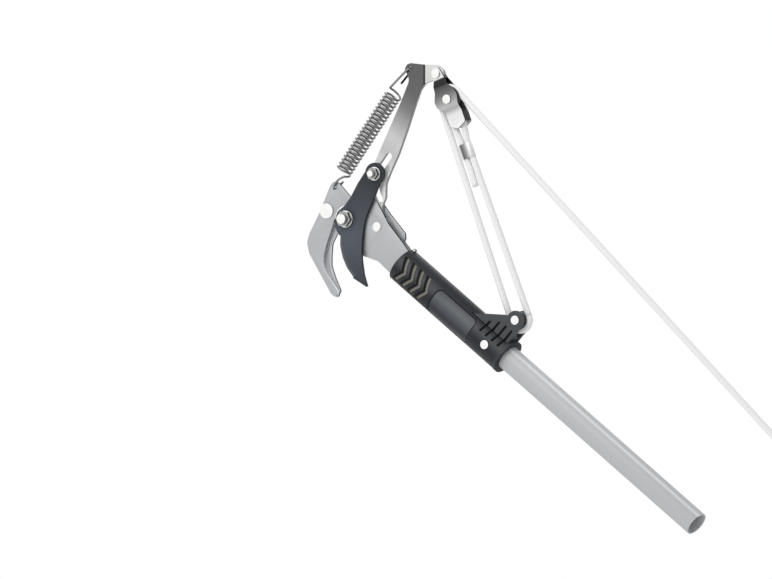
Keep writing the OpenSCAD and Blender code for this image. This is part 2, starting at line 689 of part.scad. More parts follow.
// Two crimped bores side by side
module crimp_ferrule() {
    color("silver") at_block() translate([ferrule_s, 0, ferrule_t]) rotate([0, 90, 0]) difference() {
        union() {
            translate([strand, 0, 0]) cylinder(h = ferrule_l, r = strand + ferrule_wall);
            translate([-strand, 0, 0]) cylinder(h = ferrule_l, r = strand + ferrule_wall);
            translate([-strand, -strand - ferrule_wall, 0])
                cube([strand * 2, 2 * (strand + ferrule_wall), ferrule_l]);
        }
        translate([strand, 0, -1]) cylinder(h = ferrule_l + 2, r = strand - seat_gap / 2);
        translate([-strand, 0, -1]) cylinder(h = ferrule_l + 2, r = strand - seat_gap / 2);
    }
}

module standing_fall() {
    rise = unit(stand_top - stand_bottom);
    top = stand_top - rise * (ferrule_l / 2 + end_gap * 2);
    color("whitesmoke") tube(xz(line(top, stand_bottom + rise * end_gap, 10)), cord_r, 12, [0, 1, 0]);
}

module hauling_fall() {
    rise = unit(haul_top - haul_bottom);
    color("whitesmoke")
        tube(xz(line(haul_top - rise * end_gap, haul_bottom + rise * end_gap, 12)), cord_r, 12, [0, 1, 0]);
}

module lower_turn() {
    color("whitesmoke") tube(xz(arc(lower_axle, lower_pitch_r, stand_m, haul_m, 14)), cord_r, 12, [0, 1, 0]);
}

// Cord over the upper sheave and down to the hand
module pull_cord() {
    color("whitesmoke") tube(xz(concat(
        arc(upper_axle, upper_pitch_r, haul_m, pull_m, 14),
        [for (i = [1:26]) pull_top + (pull_end - pull_top) * i / 26])), cord_r, 12, [0, 1, 0]);
}

// Stopper knot at the cord's end
module cord_knot() {
    color("whitesmoke") translate([pull_end.x, 0, pull_end.y]) rotate([0, 90 - pull_a, 0]) union() {
        rotate_extrude() polygon([[0, 0], [4.6, 0], [6.4, 2.4], [6.8, knot_l / 2], [6.2, knot_l - 2.4],
            [4, knot_l], [0, knot_l]]);
        translate([0, 0, knot_l - 1]) cylinder(h = 9, r = cord_r);
    }
}

// Coil in the spring's own frame, from the low crossover to the high one
coil_pts = let (steps = coil_n * 8, a0 = coil_from + wire_d, a1 = coil_to - wire_d) concat(
    [[coil_from, coil_y, 0]],
    [for (i = [0:steps]) let (u = i / 8, r = coil_d / 2 * smooth(u / 0.6) * smooth((coil_n - u) / 0.6))
        [a0 + (a1 - a0) * i / steps, coil_y + r * cos(u * 360), r * sin(u * 360)]],
    [[coil_to, coil_y, 0]]);

module at_spring() {
    translate([spring_anchor.x, 0, spring_anchor.y]) rotate([0, -spring_a, 0]) children();
}

module spring_coil() {
    color("gray") at_spring() tube(coil_pts, wire_d / 2, 6, [0, 0, 1]);
}

// Wire bent through points [along, y, across], each corner rounded over a length d
function eased(a, b, c, d, n) = let (p = b + unit(a - b) * d, q = b + unit(c - b) * d)
    [for (i = [0:n]) let (t = i / n) p * (1 - t) * (1 - t) + b * 2 * t * (1 - t) + q * t * t];
module bent_wire(pts, d) {
    last = len(pts) - 1;
    tube([for (i = [0:last]) each (i == 0 || i == last ? [pts[i]]
        : eased(pts[i - 1], pts[i], pts[i + 1], d, 4))], wire_d / 2, 10, [0, 0, 1]);
}

module spring_low_hook() {
    in_y = -plate_in + run_gap + wire_d / 2 + 0.4;
    color("gray") at_spring() bent_wire([[coil_from - end_gap, coil_y, 0], [coil_from - 6, coil_y, -1.6],
        [9, -hook_wire_y, 0.6], [0, -hook_wire_y, 0], [0, in_y, 0], [10, in_y, -2.4]], 1.2);
}

module spring_top_hook() {
    color("gray") at_spring() bent_wire([[coil_to + end_gap, coil_y, 0], [coil_to + 12, -lever_wire_y, 2],
        [spring_len, -lever_wire_y, 0], [spring_len, lever_wire_y, 0],
        [spring_len - hook_tail, lever_wire_y, -1.4]], 1.2);
}

pole_tube();
socket_sleeve();
sleeve_lugs();
hook_plate_front();
hook_plate_back();
hook_rivet();
lever_rivet();
pivot_bolt();
pivot_nut();
pivot_nut_washer();
pivot_washer();
pivot_spacer();
sleeve_rivets();
sleeve_top_pin();
lower_sheave_axle();
lower_sheave();
blade();
link_bolt();
link_nut();
link_nut_washer();
link_back_washer();
link_collar();
lever_arm();
tip_pin();
block_strap();
upper_sheave_axle();
upper_sheave();
becket_pin();
cord_eye();
crimp_ferrule();
standing_fall();
hauling_fall();
lower_turn();
pull_cord();
cord_knot();
spring_coil();
spring_low_hook();
spring_top_hook();
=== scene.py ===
"""Looks of a cord-worked pruner head on a pole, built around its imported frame."""

import json
import math

import bmesh
import bpy
from bpy.props import FloatProperty, FloatVectorProperty, IntProperty, PointerProperty
from bpy.types import Operator, Panel, PropertyGroup
from mathutils import Matrix, Vector


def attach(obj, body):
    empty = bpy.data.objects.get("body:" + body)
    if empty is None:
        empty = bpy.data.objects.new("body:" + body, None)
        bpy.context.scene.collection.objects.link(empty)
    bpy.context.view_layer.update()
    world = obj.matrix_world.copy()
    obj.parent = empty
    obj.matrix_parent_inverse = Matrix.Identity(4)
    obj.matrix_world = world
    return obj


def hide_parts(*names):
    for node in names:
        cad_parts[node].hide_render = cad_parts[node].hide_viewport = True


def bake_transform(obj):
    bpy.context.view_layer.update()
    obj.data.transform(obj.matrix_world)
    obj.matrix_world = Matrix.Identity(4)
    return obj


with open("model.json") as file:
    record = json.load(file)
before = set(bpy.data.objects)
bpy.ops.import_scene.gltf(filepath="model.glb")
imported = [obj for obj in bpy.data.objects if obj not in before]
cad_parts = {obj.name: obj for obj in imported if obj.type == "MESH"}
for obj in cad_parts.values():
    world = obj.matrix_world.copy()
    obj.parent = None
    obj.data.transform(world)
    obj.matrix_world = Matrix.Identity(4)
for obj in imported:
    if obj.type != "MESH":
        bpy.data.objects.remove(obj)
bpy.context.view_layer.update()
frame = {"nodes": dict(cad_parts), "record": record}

bl_info = {
    "name": "Pruner Pole",
    "version": (1, 0, 0),
    "blender": (4, 5, 0),
    "location": "3D View > Sidebar > Pruner",
    "description": "Builds the finishes and fine pieces of a cord-worked pole pruner",
    "category": "Object",
}

MM = 0.001

# Places, in millimetres in the XZ plane, as the frame's own drawing has them
HEAD_Z = 427.0
TIP = Vector((175.9, HEAD_Z + 84.1))
LOWER_AXLE = Vector((38.4, 285.1))
ANCHOR = Vector((14.1, HEAD_Z + 106.6))
SPRING_HOLE = Vector((161.1, HEAD_Z + 112.2))
BLADE_PIVOT = Vector((-1.0, HEAD_Z + 76.0))
LINK_PIN = Vector((55.3, HEAD_Z + 77.0))
PULL_END = Vector((122.0, -34.0))
LOWER_PITCH, UPPER_PITCH = 10.4, 12.0
FERRULE_S, FERRULE_T, FERRULE_L, TAIL_L = 77.0, 3.9, 15.0, 29.0
STRAND = 3.35
BECKET, EYE_R = Vector((53.6, 5.0)), 5.85


def heading(v):
    """The direction of a vector of the XZ plane."""
    return math.atan2(v.y, v.x)


def polar(c, r, a):
    """The point at distance r and direction a from c."""
    return Vector((c.x + r * math.cos(a), c.y + r * math.sin(a)))


BLOCK_A = heading(LOWER_AXLE - TIP)
SPRING_A = heading(SPRING_HOLE - ANCHOR)


def at_block(s, t):
    """A point of the block's own frame, as a point of the XZ plane."""
    u = Vector((math.cos(BLOCK_A), math.sin(BLOCK_A)))
    return TIP + u * s + Vector((-u.y, u.x)) * t


def at_spring(s, y, t):
    """A point (along, depth, across) of the spring's own frame, as a point in space, in metres."""
    u = Vector((math.cos(SPRING_A), math.sin(SPRING_A)))
    p = ANCHOR + u * s + Vector((-u.y, u.x)) * t
    return Vector((p.x, y, p.y)) * MM


UPPER_AXLE = at_block(29.0, 4.0)
GAP = (LOWER_AXLE - UPPER_AXLE).length
HAUL_M = heading(LOWER_AXLE - UPPER_AXLE) - math.acos((UPPER_PITCH - LOWER_PITCH) / GAP)
STAND_TOP = at_block(FERRULE_S + FERRULE_L / 2, FERRULE_T + STRAND)
STAND_M = heading(STAND_TOP - LOWER_AXLE) - math.acos(LOWER_PITCH / (STAND_TOP - LOWER_AXLE).length)
PULL_M = heading(PULL_END - UPPER_AXLE) + math.acos(UPPER_PITCH / (PULL_END - UPPER_AXLE).length) - math.tau
HAUL_TOP, HAUL_LOW = polar(UPPER_AXLE, UPPER_PITCH, HAUL_M), polar(LOWER_AXLE, LOWER_PITCH, HAUL_M)
STAND_LOW = polar(LOWER_AXLE, LOWER_PITCH, STAND_M)
PULL_TOP = polar(UPPER_AXLE, UPPER_PITCH, PULL_M)


def arc(c, r, a0, a1, n):
    """Points of an arc round c, in n steps."""
    return [polar(c, r, a0 + (a1 - a0) * i / n) for i in range(n + 1)]


def line(p, q, n):
    """Points from p to q, in n steps."""
    return [p + (q - p) * (i / n) for i in range(n + 1)]


def flowing(points, steps):
    """A smooth curve through points."""
    path = []
    for i in range(len(points) - 1):
        p, q = points[i], points[i + 1]
        before, after = points[max(i - 1, 0)], points[min(i + 2, len(points) - 1)]
        out, back = (q - before) / 2, (after - p) / 2
        for k in range(steps):
            t = k / steps
            ends = p * (1 + 2 * t) * (1 - t) ** 2 + q * t * t * (3 - 2 * t)
            path.append(ends + out * t * (1 - t) ** 2 - back * t * t * (1 - t))
    return path + [points[-1]]


def in_space(points):
    """Points of the XZ plane as points in space, in metres."""
    return [Vector((p.x, 0.0, p.y)) * MM for p in points]


class HeadSizes(PropertyGroup):
    """Sizes of the fine pieces that the finishes add."""

    cord_radius: FloatProperty(
        name="Cord radius", description="Radius of the braided cord",
        default=0.00325, unit="LENGTH")
    cord_sides: IntProperty(
        name="Cord sides", description="Faces round the cord",
        default=20, min=8, max=48)
    wire_radius: FloatProperty(
        name="Spring wire radius", description="Radius of the spring's wire",
        default=0.00112, unit="LENGTH")
    coil_radius: FloatProperty(
        name="Coil radius", description="Mean radius of the spring's coil",
        default=0.0078, unit="LENGTH")
    coil_turns: FloatProperty(
        name="Coil turns", description="Number of whole turns of the spring",
        default=22.0, min=4.0)
    plate_bevel: FloatProperty(
        name="Plate edge", description="Broken edge of the hook plates and collars",
        default=0.00035, unit="LENGTH")
    soft_bevel: FloatProperty(
        name="Soft edge", description="Broken edge of the pole, mouldings, strap, wheels and ferrule",
        default=0.0003, unit="LENGTH")
    fine_bevel: FloatProperty(
        name="Fine edge", description="Broken edge of the blade and the cord's pin",
        default=0.0002, unit="LENGTH")
    lever_bevel: FloatProperty(
        name="Lever edge", description="Rounded edge of the lever",
        default=0.0006, unit="LENGTH")
    fastener_bevel: FloatProperty(
        name="Fastener edge", description="Broken edge of nuts, heads and pins",
        default=0.0005, unit="LENGTH")
    thread_pitch: FloatProperty(
        name="Thread pitch", description="Spacing of the thread ridges on the bolt ends",
        default=0.0009, unit="LENGTH")


class FinishColours(PropertyGroup):
    """Base colours of the finishes, as linear colour."""

    alloy: FloatVectorProperty(
        name="Pole alloy", description="Drawn alloy of the pole",
        subtype="COLOR", default=(0.48, 0.49, 0.50))
    steel: FloatVectorProperty(
        name="Plate steel", description="Plated steel of the hook plates",
        subtype="COLOR", default=(0.45, 0.46, 0.475))
    plating: FloatVectorProperty(
        name="Lever plating", description="Bright plating of the lever",
        subtype="COLOR", default=(0.66, 0.67, 0.67))
    charcoal: FloatVectorProperty(
        name="Sleeve charcoal", description="Moulded charcoal of the sleeve",
        subtype="COLOR", default=(0.019, 0.0205, 0.027))
    # Colour of the painted highlight along the sleeve's front, also laid on its ears and panel
    painted_sheen: FloatVectorProperty(
        name="Sleeve sheen", description="Paler charcoal along the sleeve's front",
        subtype="COLOR", default=(0.055, 0.060, 0.065))
    groove: FloatVectorProperty(
        name="Groove floor", description="Paler floor of the chevron grooves",
        subtype="COLOR", default=(0.20, 0.19, 0.165))
    coating: FloatVectorProperty(
        name="Blade coating", description="Low-friction coating of the blade",
        subtype="COLOR", default=(0.050, 0.057, 0.070))
    cord: FloatVectorProperty(
        name="Cord", description="Pale fibre of the cord",
        subtype="COLOR", default=(0.88, 0.88, 0.88))
    bright: FloatVectorProperty(
        name="Bright zinc", description="Bright plating of nuts, rivets and pins",
        subtype="COLOR", default=(0.93, 0.93, 0.92))
    wheel: FloatVectorProperty(
        name="Wheel black", description="Moulded black of the two wheels",
        subtype="COLOR", default=(0.03, 0.03, 0.032))
    wire: FloatVectorProperty(
        name="Spring wire", description="Drawn steel of the spring",
        subtype="COLOR", default=(0.23, 0.23, 0.23))
    # Dark tone: painted shade on the edges of the plates and the blade, and on the sleeve's chevrons, panel
    # edge and ear tops; it also darkens the strap's edges, the lever's bevels and the sleeve's marks and
    # seam
    dark_edge_and_shade: FloatVectorProperty(
        name="Cut edge", description="Dark sheared edge of the sheet pieces",
        subtype="COLOR", default=(0.018, 0.018, 0.018))


class StageLook(PropertyGroup):
    """Light and camera."""

    key_power: FloatProperty(
        name="Key light", description="Power of the key light",
        default=12.0, min=0.0)
    fill_power: FloatProperty(
        name="Fill light", description="Power of the fill light",
        default=10.0, min=0.0)
    sky: FloatProperty(
        name="Sky", description="Strength of the soft light from all round",
        default=0.72, min=0.0)
    view_width: FloatProperty(
        name="View width", description="Width that the camera sees",
        default=0.772, unit="LENGTH")


class Wire:
    """A node socket that adds Math nodes when it is used in an expression."""

    def __init__(self, tree, socket):
        self.tree, self.socket = tree, socket

    def _math(self, operation, a, b=None):
        node = self.tree.nodes.new("ShaderNodeMath")
        node.operation = operation
        for i, value in enumerate((a, b)):
            if isinstance(value, Wire):
                self.tree.links.new(value.socket, node.inputs[i])
            elif value is not None:
                node.inputs[i].default_value = value
        return Wire(self.tree, node.outputs[0])

    def __add__(self, other):
        return self._math("ADD", self, other)

    def __mul__(self, other):
        return self._math("MULTIPLY", self, other)

    def __sub__(self, other):
        return self._math("SUBTRACT", self, other)

    def __rsub__(self, other):
        return self._math("SUBTRACT", other, self)

    def __truediv__(self, other):
        return self._math("DIVIDE", self, other)

    __radd__ = __add__
    __rmul__ = __mul__

    def __gt__(self, other):
        return self._math("GREATER_THAN", self, other)

    def __lt__(self, other):
        return self._math("LESS_THAN", self, other)

    def power(self, other):
        return self._math("POWER", self, other)

    def least(self, other):
        return self._math("MINIMUM", self, other)

    def most(self, other):
        return self._math("MAXIMUM", self, other)

    def size(self):
        return self._math("ABSOLUTE", self)

    def sine(self):
        return self._math("SINE", self)

    def cosine(self):
        return self._math("COSINE", self)

    def root(self):
        return self._math("SQRT", self)

    def fraction(self):
        return self._math("FRACT", self)

    def held(self):
        """Kept between 0 and 1."""
        return self.most(0.0).least(1.0)


class Nodes:
    """Adds nodes to a tree."""

    def __init__(self, tree):
        self.tree = tree

    def add(self, kind, settings=None, inputs=None, output=0):
        """One node, with its settings, its inputs and the output that is wanted."""
        node = self.tree.nodes.new(kind)
        for name, value in (settings or {}).items():
            if name == "ramp":
                while len(node.color_ramp.elements) < len(value):
                    node.color_ramp.elements.new(0.5)
                for element, (place, colour) in zip(node.color_ramp.elements, value):
                    element.position = place
                    element.color = (*colour, 1.0)
            else:
                setattr(node, name, value)
        for name, value in (inputs or {}).items():
            if isinstance(value, Wire):
                self.tree.links.new(value.socket, node.inputs[name])
            else:
                node.inputs[name].default_value = value
        return Wire(self.tree, node.outputs[output])


class Finish(Nodes):
    """A material with one Principled shader."""

    def __init__(self, name, **constants):
        self.material = bpy.data.materials.new(name)
        self.material.use_nodes = True
        super().__init__(self.material.node_tree)
        self.tree.nodes.clear()
        self.shader = self.tree.nodes.new("ShaderNodeBsdfPrincipled")
        out = self.tree.nodes.new("ShaderNodeOutputMaterial")
        self.tree.links.new(self.shader.outputs[0], out.inputs[0])
        for key, value in constants.items():
            self.shader.inputs[key.replace("_", " ")].default_value = value

    def coords(self, kind="Object"):
        """Places on the piece: its own coordinates, its normal or its UV map."""
        node = self.tree.nodes.new("ShaderNodeTexCoord")
        return Wire(self.tree, node.outputs[kind])

    def part(self, vector, axis):
        """One of the three parts of a vector."""
        return self.add("ShaderNodeSeparateXYZ", None, {0: vector}, axis)

    def place(self):
        """X, Y and Z of the surface's points, in millimetres."""
        at = self.coords()
        return [self.part(at, axis) * (1.0 / MM) for axis in range(3)]

    def facing(self, axis):
        """The share of the surface's normal along an axis."""
        return self.part(self.coords("Normal"), axis)

    def noise(self, scale, stretch=(1, 1, 1), detail=3.0, rough=0.6):
        """Fine unevenness, drawn out where the stretch is small."""
        at = self.add("ShaderNodeMapping", None, {"Vector": self.coords(), "Scale": stretch})
        inputs = {"Vector": at, "Scale": scale, "Detail": detail, "Roughness": rough}
        return self.add("ShaderNodeTexNoise", None, inputs)

    def mix(self, factor, a, b):
        """Colour a at 0 and colour b at 1."""
        node = self.tree.nodes.new("ShaderNodeMix")
        node.data_type = "RGBA"
        for socket, value in ((node.inputs[0], factor), (node.inputs[6], a), (node.inputs[7], b)):
            if isinstance(value, Wire):
                self.tree.links.new(value.socket, socket)
            elif socket.type == "RGBA":
                socket.default_value = (*value, 1.0)
            else:
                socket.default_value = value
        return Wire(self.tree, node.outputs[2])

    def ramp(self, factor, steps):
        """Grey tones at places between 0 and 1."""
        stops = [(place, (tone, tone, tone)) for place, tone in steps]
        return self.add("ShaderNodeValToRGB", {"ramp": stops}, {0: factor})

    def feed(self, **links):
        """Leads wires to the shader's inputs."""
        for key, wire in links.items():
            self.tree.links.new(wire.socket, self.shader.inputs[key.replace("_", " ")])

    def bump(self, height, strength, distance):
        """Relief from a height."""
        inputs = {"Height": height, "Strength": strength, "Distance": distance}
        self.feed(Normal=self.add("ShaderNodeBump", None, inputs))


def tint(colour, share):
    """A colour made darker or lighter by a share."""
    return tuple(c * share for c in colour)


FINISHES = {}


def cut_mask(f):
    """1 on the sheared edges of a sheet piece, 0 on its two faces."""
    return 1 - (f.facing(1).size() * 6.0 - 2.4).held()


def make_alloy(colours):
    """Drawn tube: even satin grey, with a narrow paler line painted along its side as a highlight."""
    f = Finish("drawn_alloy", Metallic=0.15, Specular_IOR_Level=0.2)
    x, y, _ = f.place()
    draw_lines = f.noise(900.0, (1, 1, 0.02))
    cloud = f.noise(22.0, (1, 1, 0.4), 4.0)
    c = tuple(colours.alloy)
    # Painted highlight: a narrow paler line along the tube's front
    painted_streak_at, painted_streak_half = 10.3, 1.6
    painted_streak = (1 - ((x - painted_streak_at) / painted_streak_half).size()).held() * (y < 0.0)
    tone = f.mix(draw_lines * 0.5 + cloud * 0.5, tint(c, 0.95), tint(c, 1.05))
    rough = 0.46 + draw_lines * 0.12 + cloud * 0.08
    f.feed(Base_Color=f.mix(painted_streak * 0.8, tone, tint(c, 1.6)), Roughness=rough)
    f.bump(draw_lines, 0.10, 0.00005)
    return f.material


def make_plate(colours):
    """Plated sheet: dark edges painted as shade; in the hook, edges painted pale on the back plate and dark
    on the front one, and the back plate's face between the two plates painted lighter, as painted light.
    """
    f = Finish("plate_steel")
    base = tuple(colours.steel)
    fine = f.noise(700.0, (1, 1, 0.2))
    cloud = f.noise(34.0, detail=5.0)
    scratch = f.noise(240.0, (0.12, 1, 1.6), 2.0, 0.5) > 0.66
    edge_mask = cut_mask(f)
    face = f.mix(fine * 0.4 + cloud * 0.6, tint(base, 0.94), tint(base, 1.06))
    face = f.mix(scratch * 0.10, face, tint(base, 1.5))
    x, y, _ = f.place()
    backwards = f.facing(1)
    hook_edge, hook_face = -13.5, -7.5
    # Painted light and shade on the edges: dark outside the hook; in the hook pale on the back plate and
    # dark on the front one
    in_hook = (hook_edge - x).held() * (f.facing(0) > 0.0)
    edge = f.mix(in_hook, tuple(colours.dark_edge_and_shade), f.mix(y > 0.0, tint(base, 1.9), tint(base, 0.32)))
    # Painted light: the back plate's face between the two plates in the hook is made lighter and less
    # metallic
    inner = ((backwards < -0.5) * (y > -3.0)).most((backwards > 0.5) * (y < 0.0))
    between = (hook_face - x).held() * inner
    face = f.mix(between, face, tint(base, 1.25))
    rough = 0.30 + fine * 0.10 + cloud * 0.08 + edge_mask * 0.2
    f.feed(Base_Color=f.mix(edge_mask, face, edge), Metallic=0.75 - between * 0.4, Roughness=rough)
    f.bump(fine, 0.10, 0.00004)
    return f.material


def make_plating(colours):
    """Polished lever: painted light and shade run along the arm; beside the blade it is painted lighter and
    less metallic; past the fold by the tip pin it is painted bright as a highlight, with a painted dark
    line of shade along the fold.
    """
    f = Finish("lever_plating")
    x, _, z = f.place()
    fine = f.noise(700.0, (0.2, 1, 1))
    arm_length, tip_from, blade_to = 180.0, 140.0, 78.0
    # Painted light and shade along the arm, standing in for the polished lever's reflections
    painted_sheen = f.ramp(x / arm_length, (
        (0.0, 0.5), (0.19, 0.70), (0.25, 0.34), (0.31, 0.48), (0.45, 0.55), (0.53, 0.60), (0.61, 0.40),
        (0.70, 0.20), (0.79, 0.12), (0.88, 0.11), (1.0, 0.10)))
    # Distance from the painted dark line of shade where the tip is bent, in millimetres
    fold = x * 0.526 - z * 0.688 + 271.5
    at_tip = x > tip_from
    # Painted highlight past the fold by the tip pin, and a painted dark line of shade along the fold
    tone = f.mix((fold * 1.2).held() * at_tip, painted_sheen, tint(colours.bright, 0.72))
    tone = f.mix((1.6 - fold.size() * 1.2).held() * at_tip, tone, (0.01, 0.01, 0.01))
    tone = f.mix(fine * 0.10, tone, tint(colours.plating, 0.6))
    flat = f.facing(1).size()
    edge = 1 - (flat * 6.0 - 4.6).held()
    side = f.mix((flat * 6.0 - 0.3).held(), tint(colours.plating, 0.55), tint(colours.dark_edge_and_shade, 0.5))
    # Painted light: beside the blade the lever is painted lighter and made less metallic
    painted_light_by_blade = ((blade_to - x) / 16.0).held() * (1 - edge)
    tone = f.mix(painted_light_by_blade, tone, tint(colours.plating, 1.15))
    rough = 0.20 + fine * 0.12 + edge * 0.15
    f.feed(Base_Color=f.mix(edge, tone, side), Metallic=0.9 - painted_light_by_blade * 0.75, Roughness=rough)
    f.bump(fine, 0.10, 0.00004)
    return f.material


def along_block(f):
    """Distances along and across the block from its tip pin, in millimetres."""
    x, _, z = f.place()
    x, z = x - TIP.x, z - TIP.y
    c, s = math.cos(BLOCK_A), math.sin(BLOCK_A)
    return x * c + z * s, z * c - x * s


def make_strap(colours):
    """Polished block with painted light and shade along it: black as shade at its bent tabs, bright as a
    highlight towards the cord's eye.
    """
    f = Finish("strap_plating", Metallic=0.9)
    along, _ = along_block(f)
    fine = f.noise(800.0)
    strap_length = 62.0
    # Painted light and shade along the strap: black as shade at the bent tabs, bright as a highlight
    # towards the cord's eye
    painted_sheen = f.ramp(along / strap_length, (
        (0.0, 0.78), (0.095, 0.78), (0.115, 0.03), (0.225, 0.03), (0.24, 0.08), (0.36, 0.15),
        (0.47, 0.30), (0.58, 0.50), (0.65, 0.40), (0.74, 0.78), (1.0, 0.92)))
    edge = cut_mask(f)
    rough = 0.18 + fine * 0.12 + edge * 0.4
    f.feed(Base_Color=f.mix(edge * 0.95, painted_sheen, tuple(colours.dark_edge_and_shade)), Roughness=rough)
    f.bump(fine, 0.08, 0.00004)
    return f.material


def make_ferrule():
    """Crimped ferrule with painted shading across it: dark along the tail's side and pale towards the
    other.
    """
    f = Finish("ferrule_alloy", Metallic=0.85)
    along, across = along_block(f)
    width, dent_step = 15.4, 5.0
    # Painted shading across the ferrule, as light and shade on its rounded lobes
    painted_shading_band = f.ramp(0.5 - (across - FERRULE_T) / width, (
        (0.0, 0.90), (0.20, 0.88), (0.32, 0.66), (0.50, 0.30), (0.64, 0.18), (0.76, 0.11), (0.84, 0.90)))
    dents = (along * (math.tau / dent_step)).cosine() * 0.5 + 0.5
    fine = f.noise(900.0)
    f.feed(Base_Color=f.mix(fine * 0.2, painted_shading_band, (0.2, 0.2, 0.2)), Roughness=0.26 + fine * 0.14)
    f.bump(dents * 0.7 + fine * 0.1, 0.2, 0.0002)
    return f.material


def make_charcoal(colours):
    """Moulded sleeve: a painted highlight along its front, pale groove floors, a lighter panel and dark
    marks, with painted shade along the chevrons, round the panel's edge and on the ears' tops, and the ears
    painted in the lit tone.
    """
    # All places are in millimetres: x across the front, y in depth, z up the pole
    f = Finish("sleeve_moulding", Metallic=0.0, Specular_IOR_Level=0.18)
    x, y, z = f.place()
    radius = (x * x + y * y).root()
    front = y < -1.0
    # Painted highlight along the sleeve's front
    painted_sheen = (1 - ((x - 6.5) / 9.5).size()).held() * front * (radius < 18.6)
    painted_sheen = painted_sheen * painted_sheen * (3 - painted_sheen * 2)
    # Broader painted highlight across the panel
    broad_painted_sheen = (1 - ((x - 4.5) / 12.5).size()).held() * front
    rise, pitch, groove_top = 0.576, 10.4, 17.9
    v_line = z - x.size() * rise
    row = ((v_line - 367.0) / pitch).fraction() * pitch
    in_chevrons = front * (v_line > 377.5) * (v_line < 416.5) * (x.size() < 13.3)
    floor = in_chevrons * (row > 1.2) * (row < 4.6) * (radius < groove_top)
    # Painted shadow along each chevron groove, partly covered by the pale floor
    shade = in_chevrons * (row > 0.6) * (row < 7.3)
    corner, panel_edge_shade_half = 5.0, 0.55
    side, end = (x + 2.4).size() - 9.4, (z - 344.5).size() - 22.5
    past = (side.most(0.0).power(2.0) + end.most(0.0).power(2.0)).root()
    inside = past + side.most(end).least(0.0) - corner
    panel = (inside < 0.0) * (y < -4.0)
    # Painted shade: a dark line round the panel's recessed edge
    panel_edge_shade = (inside.size() < panel_edge_shade_half) * (y < -4.0)
    slant, step = 0.105, 8.4
    mark_row = (((z + (x - 7.2) * slant - 308.6) / step + 0.5).fraction() - 0.5).size() * 8.35
    mark_end = 27.8 - (z - 296.0).most(0.0) * 0.62
    in_marks = (y < -8.5) * (z > 280.5) * (z < 311.0) * (x > 7.0) * (x < mark_end)
    marks = (mark_row < 1.4) * in_marks
    seam = (y < -9.0) * ((x - 14.2).size() < 0.5) * (z > 278.4) * (z < 330.0)
    on_lug = ((radius - 18.5) * 4.0).held() * (z < 335.0)
    # Painted shade on the ears' upward faces
    ear_top_shade = on_lug * ((f.facing(2) - 0.35) * 4.0).held()
    # One dark tone for the painted shade of the chevrons, the panel's edge and the ears' tops, and for the
    # marks and the seam
    dark = shade.most(panel_edge_shade).most(marks).most(seam).most(ear_top_shade)
    grain = f.noise(1500.0, detail=2.0)
    cloud = f.noise(30.0, detail=4.0)
    base = tuple(colours.charcoal)
    lit = tuple(colours.painted_sheen)
    body = f.mix(cloud, tint(base, 0.85), tint(base, 1.15))
    # Painted light: the ears take the lit tone, then the painted highlight goes along the front
    body = f.mix(on_lug, body, tint(lit, 1.15))
    body = f.mix(painted_sheen, body, lit)
    # The lighter panel, with the broad painted highlight across it
    body = f.mix(panel, body, f.mix(broad_painted_sheen, tint(base, 1.4), tint(lit, 2.1)))
    body = f.mix(dark, body, tint(colours.dark_edge_and_shade, 0.3))
    rough = 0.44 + grain * 0.12 - panel * 0.10 + dark * 0.3
    f.feed(Base_Color=f.mix(floor, body, tuple(colours.groove)), Roughness=rough)
    f.bump(grain * (1 - panel * 0.8), 0.25, 0.00006)
    return f.material


def make_blade(colours):
    """Coated blade: a painted highlight below its pivot, a paler ground strip along its edge, and dark
    sides painted as shade.
    """
    f = Finish("blade_coating", Metallic=0.30, Specular_IOR_Level=0.35)
    x, _, z = f.place()
    across, up = x - BLADE_PIVOT.x + 12.0, z - BLADE_PIVOT.y + 14.0
    # Painted highlight round a point below the pivot
    painted_highlight = 1 - (across * across + up * up).root() / 60.0
    fine = f.noise(900.0, (0.5, 1, 1))
    flat = f.facing(1).size()
    ground = (flat > 0.55) * (flat < 0.93)
    base = tuple(colours.coating)
    tone = f.mix(painted_highlight.held(), tint(base, 0.55), tint(base, 1.7))
    tone = f.mix(ground * 0.3, tone, tint(base, 2.2))
    edge = cut_mask(f)
    tone = f.mix(fine * 0.15, tone, tint(base, 0.5))
    # Dark sides, painted as shade
    tone = f.mix(edge * (1 - ground), tone, tint(colours.dark_edge_and_shade, 0.6))
    f.feed(Base_Color=tone, Roughness=0.34 + fine * 0.12 - ground * 0.08)
    f.bump(fine, 0.10, 0.00004)
    return f.material


def make_fastener(name, c):
    """Bright zinc: pale faces, darker flanks."""
    f = Finish(name, Metallic=0.75)
    fine = f.noise(900.0)
    cloud = f.noise(60.0, detail=4.0)
    flank = 1 - ((f.facing(1).size() - 0.74) * 5.0).held()
    face = f.mix(fine * 0.3 + cloud * 0.7, tint(c, 0.94), tint(c, 1.03))
    f.feed(Base_Color=f.mix(flank * 0.9, face, tint(c, 0.22)), Roughness=0.18 + fine * 0.10 + cloud * 0.06)
    f.bump(fine, 0.08, 0.00004)
    return f.material


def make_cord(colours):
    """Braided cord: two sets of diagonal strands from the piece's own UV map."""
    f = Finish("cord_braid", Metallic=0.0, Sheen_Weight=0.2)
    uv = f.coords("UV")
    around, along = f.part(uv, 0) * math.tau, f.part(uv, 1)
    strands, lay = 4.0, 6.0
    left = (around * strands + along * lay).sine()
    right = (around * strands - along * lay).sine()
    weave = (left * right).size().power(0.6)
    fibre = f.noise(2600.0, detail=2.0)
    c = tuple(colours.cord)
    tone = f.mix(weave * 0.7 + fibre * 0.3, tint(c, 0.80), tint(c, 1.06))
    f.feed(Base_Color=tone, Roughness=0.82 - weave * 0.12)
    f.bump(weave * 0.8 + fibre * 0.2, 0.5, 0.00025)
    return f.material


